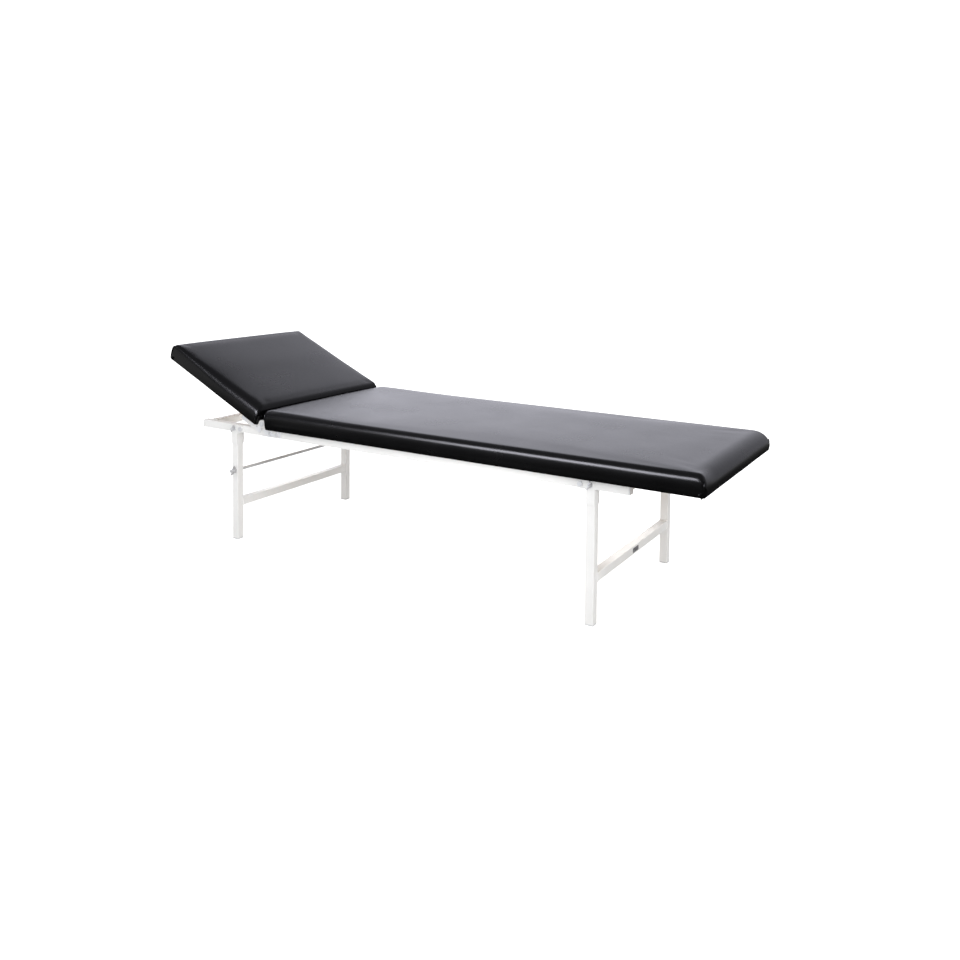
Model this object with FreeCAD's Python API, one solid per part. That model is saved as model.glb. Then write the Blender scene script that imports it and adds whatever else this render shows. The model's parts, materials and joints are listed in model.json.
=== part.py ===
import FreeCAD, Part
import math
import os
from FreeCAD import Vector

# A relaxation couch: two vinyl pads on a square-tube frame with folding legs and a tilting head pad.
# Millimetres. +X runs towards the foot end, -Y is the near side, +Z is up.
# The origin is on the floor under the middle of the couch, with the head pad raised as it rests.

# Pads: a vinyl cover over foam on a board
main_pad_length = 1442.0
head_pad_length = 445.0
pad_width = 624.0
pad_thickness = 65.0
pad_crown = 4.0
side_edge_radius = 20.0
foot_roll_run = 44.0
foot_roll_drop = 40.0
head_roll_run = 27.0
head_roll_drop = 29.0
end_tuck_run = 8.0
end_tuck_rise = 14.0
main_joint_roll = 9.0
head_joint_roll = 24.0
end_corner_radius = 5.0
joint_corner_radius = 5.0
side_tuck = 5.0
side_bulge = 1.5
side_waist = 2.0
cover_thickness = 1.2
cover_return = 28.0
board_thickness = 10.0
soft_gap = 0.3
roll_stations = (0, 22.5, 45, 67.5, 90)
waist_stations = (0.25, 0.5, 0.75)

# Square-tube frame
tube_size = 25.0
tube_wall = 1.5
tube_corner_radius = 2.0
tube_inner_radius = 0.5
frame_width = 580.0
rail_top = 385.0
rail_length = 1531.0
rail_behind_hinge = 272.0
cross_tube_inset = 10.0
end_cap_thickness = 2.5
end_cap_depth = 14.0
plug_clearance = 0.1

# Leg frames
head_leg_behind_hinge = 127.0
leg_pitch = 1281.5
crossbar_height = 123.0
foot_plug_thickness = 4.0
foot_plug_depth = 22.0
bracket_thickness = 3.0
bracket_drop = 40.0
pivot_offset = 28.5
bolt_above_rail_base = 12.0
pivot_eye_radius = 12.0
bracket_fillet = 4.0

# Bolts, nuts and washers
pivot_bolt_radius = 4.0
pivot_head_width = 13.0
pivot_head_height = 5.0
lock_bolt_radius = 3.0
lock_head_radius = 6.5
lock_head_height = 3.0
lock_bolt_reach = 16.0
washer_radius = 7.0
washer_thickness = 1.5
thread_past_nut = 2.0
running_clearance = 0.06
hole_clearance = 0.15
slot_clearance = 0.4
face_clearance = 0.3

# Wing nuts
wing_thickness = 2.4
wing_angle = 68.0
lock_hub_radius = 5.0
lock_hub_height = 6.0
lock_wing_radius = 12.0
lock_wing_rise = 4.0
roll_hub_radius = 8.0
roll_hub_height = 8.0
roll_wing_radius = 17.0
roll_wing_rise = 6.0

# Paper-roll rod between the head legs
roll_rod_height = 231.0
roll_rod_radius = 5.0
roll_rod_reach = 20.0
roll_head_radius = 7.5
roll_head_height = 4.0

# Ratchet hinge of the head pad
head_rest_angle = 25.0
head_top_angle = 50.0
hinge_rise = 15.0
hinge_to_main_pad = 21.0
hinge_to_head_pad = 17.3
head_pad_lift = 2.5
hinge_metal = 3.0
hinge_head_radius = 13.5
hinge_neck = (3.0, 13.0)
hinge_strip_length = 78.0
hinge_strip_margin = 1.0
hinge_bolt_places = (34.0, 62.0)
hinge_bolt_radius = 3.0
hinge_bolt_head_radius = 5.5
hinge_bolt_head_height = 3.5
hinge_nut_width = 10.0
hinge_nut_height = 5.0
rivet_radius = 4.0
rivet_head_radius = 8.0
rivet_head_height = 2.5
ratchet_step = 12.5
tooth_depth = 2.0
tooth_half_width = 1.2
arm_length = 85.0
arm_depth = 18.0
arm_neck = (-13.0, 3.0)
arm_flange_start = 21.0
arm_flange_thickness = 2.2

# Pawl, carried by the hinge arm
pawl_angle = 265.0
pawl_pivot = (-15.5, -16.5)
pawl_thickness = 2.4
pawl_boss_radius = 3.2
pawl_beak = 2.4
pawl_body = 2.6
pawl_gap = 0.35
pawl_lift = 11.0
pawl_pin_radius = 1.6
pawl_pin_head_radius = 3.0
pawl_pin_head_height = 1.2
spring_thickness = 0.8
spring_width = 2.0
spring_length = 34.0
spring_tab = 8.0

# Board screws and buffers
board_screws_per_rail = 5
screw_from_hinge = 140.0
screw_from_foot_leg = 90.0
screw_radius = 2.0
screw_head_radius = 4.0
screw_head_height = 2.4
screw_bite = 7.0
arm_screw_places = (32.0, 52.0, 72.0)
arm_screw_head_radius = 3.8
buffer_length = 18.0
buffer_width = 10.0
buffer_inset = 30.0


def roll_fall(run, drop, distance):
    """How far a rounded edge falls short of full size, at a distance in from its tip."""
    if distance >= run:
        return 0.0
    return drop * (1 - math.sqrt(1 - ((run - distance) / run) ** 2))


def roll_places(run):
    """Distances from the tip of a rounded edge at which a pad's sections are drawn."""
    return [run * (1 - math.cos(math.radians(turn))) for turn in roll_stations]


def end_places(run):
    """The same at a pad's outer end, with the place where the underside starts to rise."""
    return sorted(roll_places(run) + [end_tuck_run])


def raised_reach(from_tip):
    """How far a point of the raised head pad's lower outline stands out past the hinge."""
    rest = math.radians(head_rest_angle)
    along = hinge_to_head_pad + head_pad_length - from_tip
    above = roll_fall(end_tuck_run, end_tuck_rise, from_tip) + head_pad_lift - hinge_rise
    return along * math.cos(rest) - above * math.sin(rest)


# Places worked out from the sizes above
head_reach = max(raised_reach(place) for place in end_places(head_roll_run))
main_reach = hinge_to_main_pad + main_pad_length
hinge_x = (head_reach - main_reach) / 2
hinge_z = rail_top + hinge_rise
hinge = Vector(hinge_x, 0, hinge_z)
rail_base = rail_top - tube_size
rail_middle = rail_top - tube_size / 2
rail_start = hinge_x - rail_behind_hinge
rail_end = rail_start + rail_length
rail_outer = -frame_width / 2
rail_inner = rail_outer + tube_size
rail_line = rail_outer + tube_size / 2
head_leg_x = hinge_x - head_leg_behind_hinge
foot_leg_x = head_leg_x + leg_pitch
bolt_z = rail_base + bolt_above_rail_base
outer_plate = (rail_outer - bracket_thickness, rail_outer)
inner_plate = (rail_inner, rail_inner + bracket_thickness)
hinge_plate_y = (rail_outer - hinge_metal, rail_outer)
arm_y = (hinge_plate_y[0] - face_clearance - hinge_metal, hinge_plate_y[0] - face_clearance)


# Helpers
def block(x, y, z):
    """A box between two values on each axis."""
    return Part.makeBox(x[1] - x[0], y[1] - y[0], z[1] - z[0], Vector(x[0], y[0], z[0]))


def pin_y(x, z, radius, y):
    """A round bar along Y."""
    return Part.makeCylinder(radius, y[1] - y[0], Vector(x, y[0], z), Vector(0, 1, 0))


def pin_z(x, y, radius, z):
    """A round bar along Z."""
    return Part.makeCylinder(radius, z[1] - z[0], Vector(x, y, z[0]))


def plate(points, y):
    """A flat plate with a straight-sided outline in X and Z."""
    corners = [Vector(px, y[0], pz) for px, pz in points]
    face = Part.Face(Part.makePolygon(corners + corners[:1]))
    return face.extrude(Vector(0, y[1] - y[0], 0))


def hexagon(x, z, width, y):
    """A hexagonal head or nut on a Y axis, sized across its flats."""
    radius = width / math.sqrt(3)
    turns = [math.radians(60 * k) for k in range(6)]
    return plate([(x + radius * math.cos(t), z + radius * math.sin(t)) for t in turns], y)


def square_bar(axis, span, centre, half, corner_radius):
    """A square bar along axis 0, 1 or 2 with rounded corners; centre is its middle on the other axes."""
    sides = [(c - half, c + half) for c in centre]
    sides.insert(axis, span)
    bar = block(*sides)
    lengthwise = [e for e in bar.Edges if abs(e.tangentAt(e.FirstParameter)[axis]) > 0.5]
    return bar.makeFillet(corner_radius, lengthwise)


def square_tube(axis, span, centre):
    """An open square tube along axis 0, 1 or 2."""
    outside = square_bar(axis, span, centre, tube_size / 2, tube_corner_radius)
    return outside.cut(square_bar(axis, span, centre, tube_size / 2 - tube_wall, tube_inner_radius))


def tube_plug(axis, face, stem, centre):
    """A plug for the end of a tube: a head as wide as the tube over one span, and a stem over another."""
    head = square_bar(axis, face, centre, tube_size / 2, tube_corner_radius)
    stem_half = tube_size / 2 - tube_wall - plug_clearance
    return fused(head, square_bar(axis, stem, centre, stem_half, tube_inner_radius))


def far(shape):
    """The same piece on the far side."""
    return shape.mirror(Vector(0, 0, 0), Vector(0, 1, 0))


def both(shape):
    """The near piece and its far twin, as one group."""
    return Part.makeCompound([shape, far(shape)])


def fused(first, *others):
    """One solid from overlapping shapes."""
    return first.fuse(list(others)).removeSplitter()


def raised(shape):
    """A piece of the lowered head pad, turned up to where the pad rests."""
    shape.rotate(hinge, Vector(0, 1, 0), head_rest_angle)
    return shape


# Pads, each given by its length, its outer end's run and drop, and the roll at its joint end
main_pad = (main_pad_length, foot_roll_run, foot_roll_drop, main_joint_roll)
head_pad = (head_pad_length, head_roll_run, head_roll_drop, head_joint_roll)


def pad_section(x, half_width, base, top):
    """A cross-section of a pad: flat underside, drawn-in sides, rounded edges and a crowned top."""
    foot = half_width - side_tuck
    shoulder = top - pad_crown
    edge = side_edge_radius * (shoulder - base) / (pad_thickness - pad_crown)
    side_top = shoulder - edge
    side_middle = (half_width - side_tuck / 2 + side_bulge, (base + side_top) / 2)
    slant = edge * math.sqrt(0.5)

    def at(y, z):
        return Vector(x, y, z)

    def side_arc(s):
        middle = at(s * side_middle[0], side_middle[1])
        return Part.Arc(at(s * foot, base), middle, at(s * half_width, side_top))

    def edge_arc(s):
        middle = at(s * (half_width - edge + slant), side_top + slant)
        return Part.Arc(at(s * half_width, side_top), middle, at(s * (half_width - edge), shoulder))

    def reversed_edge(arc):
        return Part.Arc(arc.EndPoint, arc.value((arc.FirstParameter + arc.LastParameter) / 2), arc.StartPoint)

    crown = Part.Arc(at(half_width - edge, shoulder), at(0, top), at(edge - half_width, shoulder))
    edges = [
        Part.LineSegment(at(-foot, base), at(foot, base)),
        side_arc(1),
        edge_arc(1),
        crown,
        reversed_edge(edge_arc(-1)),
        reversed_edge(side_arc(-1)),
    ]
    return Part.Wire([e.toShape() for e in edges])


def pad_form(pad, base=0.0, shrink=0.0):
    """A pad from its joint end at x = 0 to its rolled outer end, drawn in all round by shrink."""
    length, end_run, end_drop, joint_roll = (size - shrink for size in pad)
    inner_length = length - shrink
    joint_corner = joint_corner_radius - shrink
    end_corner = end_corner_radius - shrink
    places = roll_places(joint_roll) + [inner_length * share for share in waist_stations]
    places += [inner_length - place for place in reversed(end_places(end_run))]
    sections = []
    for place in places:
        to_end = inner_length - place
        waist = side_waist * math.sin(math.pi * place / inner_length)
        corners = roll_fall(joint_corner, joint_corner, place) + roll_fall(end_corner, end_corner, to_end)
        drop = roll_fall(joint_roll, joint_roll, place)
        drop += roll_fall(end_run, end_drop, to_end)
        half_width = pad_width / 2 - shrink - waist - corners
        lowest = base + roll_fall(end_tuck_run, end_tuck_rise, to_end)
        sections.append(pad_section(place + shrink, half_width, lowest, pad_thickness - shrink - drop))
    return Part.makeLoft(sections, True, True)


def pad_cover(pad):
    """The vinyl skin, open below inside the strip that is folded under the board."""
    skin = pad_form(pad).cut(pad_form(pad, cover_thickness, cover_thickness))
    half_width = pad_width / 2 - cover_return
    below = (-cover_thickness, 2 * cover_thickness)
    return skin.cut(block((cover_return, pad[0] - cover_return), (-half_width, half_width), below))


def pad_board(pad):
    """The board, inside the cover, with rounded corners."""
    length = pad[0]
    margin = cover_thickness + soft_gap
    half_width = pad_width / 2 - side_tuck - side_waist - margin
    board_z = (cover_thickness, cover_thickness + board_thickness)
    board = block((margin, length - end_tuck_run - margin), (-half_width, half_width), board_z)
    upright = [e for e in board.Edges if abs(e.Vertexes[0].Z - e.Vertexes[1].Z) > board_thickness / 2]
    near_end = [e for e in upright if e.Vertexes[0].X < length / 2]
    outer_end = [e for e in upright if e.Vertexes[0].X > length / 2]
    return board.makeFillet(joint_corner_radius, near_end).makeFillet(end_corner_radius, outer_end)


def pad_foam(pad):
    """The foam, lying on the board inside the cover."""
    inside = pad_form(pad, cover_thickness, cover_thickness + soft_gap)
    below = (0, cover_thickness + board_thickness)
    return inside.cut(block((0, pad[0]), (-pad_width / 2, pad_width / 2), below))


def as_main_pad(shape):
    """Places a pad piece on the rails, from the hinge towards the foot end."""
    shape.translate(Vector(hinge_x + hinge_to_main_pad, 0, rail_top))
    return shape


def as_head_pad(shape):
    """Places a pad piece, still lowered, from the hinge towards the head end."""
    turned = shape.mirror(Vector(0, 0, 0), Vector(1, 0, 0))
    turned.translate(Vector(hinge_x - hinge_to_head_pad, 0, rail_top + head_pad_lift))
    return turned


# Screws into the boards
first_screw = hinge_x + screw_from_hinge
last_screw = foot_leg_x - screw_from_foot_leg
screw_gap = (last_screw - first_screw) / (board_screws_per_rail - 1)
screw_places = [first_screw + k * screw_gap for k in range(board_screws_per_rail)]
main_board_base = rail_top + cover_thickness
head_board_base = rail_top + head_pad_lift + cover_thickness


def main_screw(x):
    """A pan-head screw up through the rail into the main board."""
    head = pin_z(x, rail_line, screw_head_radius, (rail_base - screw_head_height, rail_base))
    shank = pin_z(x, rail_line, screw_radius, (rail_base, main_board_base + screw_bite))
    return fused(head, shank)


arm_flange_top = rail_top + head_pad_lift
arm_flange_base = arm_flange_top - arm_flange_thickness


def arm_screw(place, clearance=0.0):
    """A countersunk screw up through the hinge arm's flange into the head board."""
    x = hinge_x - place
    radius = screw_radius + clearance
    head = Part.makeCone(
        arm_screw_head_radius + clearance, radius, arm_flange_thickness, Vector(x, rail_line, arm_flange_base)
    )
    shank = pin_z(x, rail_line, radius, (arm_flange_top, head_board_base + screw_bite + clearance))
    return fused(head, shank)


def main_screw_holes(clearance):
    """Round bores for the main board's screws, through the rail and into the board."""
    span = (rail_base - tube_wall, main_board_base + screw_bite + clearance)
    return [pin_z(x, rail_line, screw_radius + clearance, span) for x in screw_places]


# Rails, cross tubes and caps
def hinge_bolt_holes(clearance):
    """Bores for the bolts that hold the hinge plate to the rail."""
    span = (hinge_plate_y[0] - tube_size, rail_inner + tube_size)
    radius = hinge_bolt_radius + clearance
    return [pin_y(hinge_x + place, rail_middle, radius, span) for place in hinge_bolt_places]


def leg_bolt_holes(clearance):
    """Bores through the rail for the pivot and lock bolts of both leg frames."""
    span = (rail_outer - tube_size, rail_inner + tube_size)
    holes = []
    for leg_x, inboard in ((head_leg_x, 1), (foot_leg_x, -1)):
        holes.append(pin_y(leg_x, bolt_z, lock_bolt_radius + clearance, span))
        holes.append(pin_y(leg_x + inboard * pivot_offset, bolt_z, pivot_bolt_radius + clearance, span))
    return holes


rail = square_tube(0, (rail_start, rail_end), (rail_line, rail_middle))
rail = rail.cut(main_screw_holes(hole_clearance) + hinge_bolt_holes(hole_clearance))
rail = rail.cut(leg_bolt_holes(hole_clearance))


def cross_tube(x):
    """A tube welded between the rails."""
    return square_tube(1, (rail_inner, -rail_inner), (x, rail_middle))


def end_cap(x, outward):
    """A plug in the end of a rail, with a flat outside face."""
    face = sorted((x, x + outward * end_cap_thickness))
    stem = sorted((x, x - outward * end_cap_depth))
    return tube_plug(0, face, stem, (rail_line, rail_middle))


near_caps = Part.makeCompound([end_cap(rail_start, -1), end_cap(rail_end, 1)])

buffer_x = rail_start + buffer_inset
buffer_top = head_board_base - face_clearance
head_buffer = block(
    (buffer_x, buffer_x + buffer_length), (rail_inner - buffer_width, rail_inner), (rail_top, buffer_top)
)


# Leg frames. Inboard is +1 where the middle of the couch lies towards +X, and -1 where it lies towards -X.
def leg_plate(leg_x, inboard, y):
    """A strap on the leg with an arm that has a pivot eye and a slot that drops off the lock bolt."""
    pivot_x = leg_x + inboard * pivot_offset
    outer_x = leg_x - inboard * tube_size / 2
    inner_x = leg_x + inboard * tube_size / 2
    base = rail_base - bracket_drop
    top = bolt_z + pivot_eye_radius
    arm_base = bolt_z - pivot_eye_radius

    def at(x, z):
        return Vector(x, y[0], z)

    corners = [at(pivot_x, top), at(outer_x, top), at(outer_x, base), at(inner_x, base)]
    corners += [at(inner_x, arm_base), at(pivot_x, arm_base)]
    eye = Part.Arc(corners[-1], at(pivot_x + inboard * pivot_eye_radius, bolt_z), corners[0])
    lines = [Part.LineSegment(a, b).toShape() for a, b in zip(corners, corners[1:])]
    blank = Part.Face(Part.Wire(lines + [eye.toShape()])).extrude(Vector(0, y[1] - y[0], 0))

    def in_corner(edge):
        return all(math.hypot(v.X - inner_x, v.Z - arm_base) < 0.01 for v in edge.Vertexes)

    blank = blank.makeFillet(bracket_fillet, [e for e in blank.Edges if in_corner(e)])
    half_slot = lock_bolt_radius + slot_clearance
    ring = pin_y(pivot_x, bolt_z, pivot_offset + half_slot, y)
    ring = ring.cut(pin_y(pivot_x, bolt_z, pivot_offset - half_slot, y))
    mouth = block((leg_x - tube_size, leg_x + tube_size), y, (bolt_z, top + tube_size))
    seat = pin_y(leg_x, bolt_z, half_slot, y)
    bore = pin_y(pivot_x, bolt_z, pivot_bolt_radius + running_clearance, y)
    return blank.cut([ring.common(mouth), seat, bore])


def leg_plates(leg_x, inboard):
    """The outer and inner plates of one leg, welded to its sides."""
    return Part.makeCompound([leg_plate(leg_x, inboard, y) for y in (outer_plate, inner_plate)])


def leg_tube(leg_x):
    """An upright from its foot plug to the underside of the rail."""
    return square_tube(2, (foot_plug_thickness, rail_base), (leg_x, rail_line))


def foot_plug(leg_x):
    """A plastic plug that closes the foot of a leg."""
    stem = (foot_plug_thickness, foot_plug_thickness + foot_plug_depth)
    return tube_plug(2, (0, foot_plug_thickness), stem, (leg_x, rail_line))


def crossbar(leg_x):
    """The tube between two legs."""
    return square_tube(1, (rail_inner, -rail_inner), (leg_x, crossbar_height))


# Leg bolts and wing nuts
pivot_seat = outer_plate[0] - face_clearance
pivot_nut = (inner_plate[1] + face_clearance, inner_plate[1] + face_clearance + pivot_head_height)
lock_seat = outer_plate[0] - washer_thickness


def pivot_bolt(leg_x, inboard):
    """A hexagon bolt through the bracket plates and the rail."""
    x = leg_x + inboard * pivot_offset
    head = hexagon(x, bolt_z, pivot_head_width, (pivot_seat - pivot_head_height, pivot_seat))
    return fused(head, pin_y(x, bolt_z, pivot_bolt_radius, (pivot_seat, pivot_nut[1] + thread_past_nut)))


def pivot_nut_piece(leg_x, inboard):
    """The nut on a pivot bolt, inside the rail."""
    x = leg_x + inboard * pivot_offset
    nut = hexagon(x, bolt_z, pivot_head_width, pivot_nut)
    return nut.cut(pin_y(x, bolt_z, pivot_bolt_radius + running_clearance, pivot_nut))


def lock_bolt(leg_x):
    """A round-headed bolt through the rail, threaded for a wing nut outside."""
    head = pin_y(leg_x, bolt_z, lock_head_radius, (inner_plate[1], inner_plate[1] + lock_head_height))
    shank_y = (outer_plate[0] - lock_bolt_reach, inner_plate[1])
    return fused(head, pin_y(leg_x, bolt_z, lock_bolt_radius, shank_y))


def lock_washer(leg_x):
    """The washer under a wing nut."""
    span = (lock_seat, outer_plate[0])
    return pin_y(leg_x, bolt_z, washer_radius, span).cut(
        pin_y(leg_x, bolt_z, lock_bolt_radius + hole_clearance, span)
    )


def wing_nut(x, z, seat, bolt_radius, hub, wing_radius, rise):
    """A wing nut that bears on a face at y = seat and points towards -Y; hub is its radius and height."""
    hub_radius, hub_height = hub
    front = seat - hub_height
    outline = [(0.0, seat), (hub_radius, seat), (wing_radius, front)]
    outline += [(wing_radius, front - rise), (hub_radius, front - rise), (0.0, front)]
    body = pin_y(x, z, hub_radius, (front, seat))
    for turn in (wing_angle, wing_angle + 180):
        corners = [Vector(x + r, y, z - wing_thickness / 2) for r, y in outline]
        wing = Part.Face(Part.makePolygon(corners + corners[:1])).extrude(Vector(0, 0, wing_thickness))
        wing.rotate(Vector(x, 0, z), Vector(0, -1, 0), turn)
        body = body.fuse(wing)
    return body.removeSplitter().cut(pin_y(x, z, bolt_radius + running_clearance, (front - rise, seat)))


def lock_wing_nut(leg_x):
    """The wing nut that clamps one leg's bracket plates to the rail."""
    hub = (lock_hub_radius, lock_hub_height)
    return wing_nut(leg_x, bolt_z, lock_seat, lock_bolt_radius, hub, lock_wing_radius, lock_wing_rise)


# Paper-roll rod
def with_rod_hole(leg):
    """A head leg, bored for the rod."""
    span = (rail_outer - tube_size, rail_inner + tube_size)
    return leg.cut(pin_y(head_leg_x, roll_rod_height, roll_rod_radius + running_clearance, span))


rod_head = pin_y(head_leg_x, roll_rod_height, roll_head_radius, (-rail_outer, roll_head_height - rail_outer))
rod_bar = pin_y(head_leg_x, roll_rod_height, roll_rod_radius, (rail_outer - roll_rod_reach, -rail_outer))
roll_rod = fused(rod_head, rod_bar)
roll_hub = (roll_hub_radius, roll_hub_height)
roll_wing_nut = wing_nut(
    head_leg_x, roll_rod_height, rail_outer, roll_rod_radius, roll_hub, roll_wing_radius, roll_wing_rise
)


# Ratchet hinge, drawn with the head pad lowered and then raised
def around_hinge(radius, degrees):
    """A point at a radius and an angle about the hinge, in X and Z."""
    turn = math.radians(degrees)
    return (hinge_x + radius * math.cos(turn), hinge_z + radius * math.sin(turn))


def tooth_gap(degrees):
    """A V-shaped gap between two teeth of the hinge plate."""
    half_angle = math.degrees(tooth_half_width / hinge_head_radius)
    beyond = hinge_head_radius + tooth_depth
    widen = 2 * half_angle
    points = [around_hinge(hinge_head_radius - tooth_depth, degrees)]
    points += [around_hinge(beyond, degrees - widen), around_hinge(beyond, degrees + widen)]
    return plate(points, hinge_plate_y)


def hinge_plate():
    """The fixed half: a strip bolted to the rail's outer face, a neck and a toothed head."""
    strip_z = (rail_base + hinge_strip_margin, rail_top - hinge_strip_margin)
    neck_x = (hinge_x + hinge_neck[0], hinge_x + hinge_neck[1])
    strip = block((neck_x[0], hinge_x + hinge_strip_length), hinge_plate_y, strip_z)
    neck = block(neck_x, hinge_plate_y, (strip_z[0], hinge_z))
    head = pin_y(hinge_x, hinge_z, hinge_head_radius, hinge_plate_y)
    steps = round(head_top_angle / ratchet_step)
    gaps = [tooth_gap(pawl_angle - k * ratchet_step) for k in range(steps + 1)]
    bore = pin_y(hinge_x, hinge_z, rivet_radius + running_clearance, hinge_plate_y)
    return fused(strip, neck, head.cut(gaps)).cut(hinge_bolt_holes(hole_clearance) + [bore])


def hinge_rivet():
    """The pin of the hinge, headed at both ends."""
    outer = arm_y[0] - face_clearance
    shank = pin_y(hinge_x, hinge_z, rivet_radius, (outer, hinge_plate_y[1]))
    outer_head = pin_y(hinge_x, hinge_z, rivet_head_radius, (outer - rivet_head_height, outer))
    inner_end = hinge_plate_y[1] + rivet_head_height
    inner_head = pin_y(hinge_x, hinge_z, rivet_head_radius, (hinge_plate_y[1], inner_end))
    return fused(shank, outer_head, inner_head)


def hinge_bolt(place):
    """A button-headed bolt through the hinge plate and the rail."""
    x = hinge_x + place
    head_y = (hinge_plate_y[0] - hinge_bolt_head_height, hinge_plate_y[0])
    head = pin_y(x, rail_middle, hinge_bolt_head_radius, head_y)
    shank_y = (hinge_plate_y[0], rail_inner + hinge_nut_height + thread_past_nut)
    return fused(head, pin_y(x, rail_middle, hinge_bolt_radius, shank_y))


def hinge_nut(place):
    """The nut on a hinge-plate bolt, inside the rail."""
    x = hinge_x + place
    span = (rail_inner, rail_inner + hinge_nut_height)
    return hexagon(x, rail_middle, hinge_nut_width, span).cut(
        pin_y(x, rail_middle, hinge_bolt_radius + running_clearance, span)
    )


pawl_x = hinge_x + pawl_pivot[0]
pawl_z = hinge_z + pawl_pivot[1]
pawl_y_middle = (hinge_plate_y[0] + hinge_plate_y[1]) / 2
pawl_y = (pawl_y_middle - pawl_thickness / 2, pawl_y_middle + pawl_thickness / 2)


def hinge_arm():
    """The moving half: a round head, a neck past the pad's edge, a strip and a flange under the board."""
    strip_z = (arm_flange_top - arm_depth, arm_flange_top)
    neck_x = (hinge_x + arm_neck[0], hinge_x + arm_neck[1])
    strip = block((hinge_x - arm_length, neck_x[1]), arm_y, strip_z)
    neck = block(neck_x, arm_y, (strip_z[0], hinge_z))
    head = pin_y(hinge_x, hinge_z, hinge_head_radius, arm_y)
    flange_x = (hinge_x - arm_length, hinge_x - arm_flange_start)
    flange = block(flange_x, (arm_y[0], rail_inner), (arm_flange_base, arm_flange_top))
    bores = [pin_y(hinge_x, hinge_z, rivet_radius + running_clearance, arm_y)]
    bores.append(pin_y(pawl_x, pawl_z, pawl_pin_radius + running_clearance, arm_y))
    bores += [arm_screw(place, hole_clearance) for place in arm_screw_places]
    return fused(strip, neck, head, flange).cut(bores)


def pawl():
    """A small lever with a beak that drops into the teeth, drawn lifted clear of them."""
    tip_radius = hinge_head_radius - tooth_depth + pawl_gap
    half = math.degrees((tooth_half_width - pawl_gap) / hinge_head_radius)
    beak_base = tip_radius + pawl_beak
    lever_base = beak_base + pawl_body
    outline = [(pawl_x, pawl_z + pawl_boss_radius), around_hinge(beak_base, pawl_angle - half)]
    outline += [around_hinge(tip_radius, pawl_angle), around_hinge(beak_base, pawl_angle + half)]
    outline += [around_hinge(lever_base, pawl_angle + half), (pawl_x, pawl_z - pawl_boss_radius)]
    lever = fused(plate(outline, pawl_y), pin_y(pawl_x, pawl_z, pawl_boss_radius, pawl_y))
    lever = lever.cut(pin_y(pawl_x, pawl_z, pawl_pin_radius + running_clearance, pawl_y))
    lever.rotate(Vector(pawl_x, 0, pawl_z), Vector(0, 1, 0), pawl_lift)
    return lever


def pawl_pin():
    """The pin that carries the pawl, headed on the outside of the hinge arm."""
    head = pin_y(pawl_x, pawl_z, pawl_pin_head_radius, (arm_y[0] - pawl_pin_head_height, arm_y[0]))
    return fused(head, pin_y(pawl_x, pawl_z, pawl_pin_radius, (arm_y[0], pawl_y[1])))


spring_z = pawl_z - pawl_boss_radius - face_clearance
spring_end = pawl_x + pawl_boss_radius


def pawl_spring():
    """A leaf spring under the pawl, welded to the hinge arm at its tab."""
    leaf_y = (pawl_y_middle - spring_width / 2, pawl_y_middle + spring_width / 2)
    leaf_z = (spring_z - spring_thickness, spring_z)
    leaf = block((spring_end - spring_length, spring_end), leaf_y, leaf_z)
    tab_x = (spring_end - spring_length, spring_end - spring_length + spring_tab)
    return fused(leaf, block(tab_x, (arm_y[1], leaf_y[1]), leaf_z))


# Every piece by name
legs = {"head": (head_leg_x, 1), "foot": (foot_leg_x, -1)}
leg_places = list(legs.values())
cross_tube_places = {
    "head_cross_tube": rail_start + cross_tube_inset + tube_size / 2,
    "middle_cross_tube": (rail_start + rail_end) / 2,
    "foot_cross_tube": rail_end - cross_tube_inset - tube_size / 2,
}
main_holes = main_screw_holes(running_clearance)
arm_holes = [arm_screw(place, running_clearance) for place in arm_screw_places]
main_board = as_main_pad(pad_board(main_pad)).cut(main_holes + [far(h) for h in main_holes])
head_board = as_head_pad(pad_board(head_pad)).cut(arm_holes + [far(h) for h in arm_holes])
head_cover = as_head_pad(pad_cover(head_pad)).cut(arm_holes + [far(h) for h in arm_holes])

nodes = {
    "near_rail": rail,
    "far_rail": far(rail),
    "rail_end_caps": both(near_caps),
    "head_buffers": both(head_buffer),
    "main_board": main_board,
    "main_foam": as_main_pad(pad_foam(main_pad)),
    "main_cover": as_main_pad(pad_cover(main_pad)),
    "main_board_screws": both(Part.makeCompound([main_screw(x) for x in screw_places])),
    "head_board": raised(head_board),
    "head_foam": raised(as_head_pad(pad_foam(head_pad))),
    "head_cover": raised(head_cover),
    "near_hinge_plate": hinge_plate(),
    "far_hinge_plate": far(hinge_plate()),
    "hinge_rivets": both(hinge_rivet()),
    "hinge_plate_bolts": both(Part.makeCompound([hinge_bolt(place) for place in hinge_bolt_places])),
    "hinge_plate_nuts": both(Part.makeCompound([hinge_nut(place) for place in hinge_bolt_places])),
    "near_hinge_arm": raised(hinge_arm()),
    "far_hinge_arm": raised(far(hinge_arm())),
    "hinge_arm_screws": raised(both(Part.makeCompound([arm_screw(place) for place in arm_screw_places]))),
    "near_pawl": raised(pawl()),
    "far_pawl": raised(far(pawl())),
    "pawl_pins": raised(both(pawl_pin())),
    "pawl_springs": raised(both(pawl_spring())),
    "leg_pivot_bolts": both(Part.makeCompound([pivot_bolt(*place) for place in leg_places])),
    "leg_pivot_nuts": both(Part.makeCompound([pivot_nut_piece(*place) for place in leg_places])),
    "leg_lock_bolts": both(Part.makeCompound([lock_bolt(x) for x, inboard in leg_places])),
    "lock_washers": both(Part.makeCompound([lock_washer(x) for x, inboard in leg_places])),
    "roll_rod": roll_rod,
    "roll_wing_nut": roll_wing_nut,
}
for name, x in cross_tube_places.items():
    nodes[name] = cross_tube(x)
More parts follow.
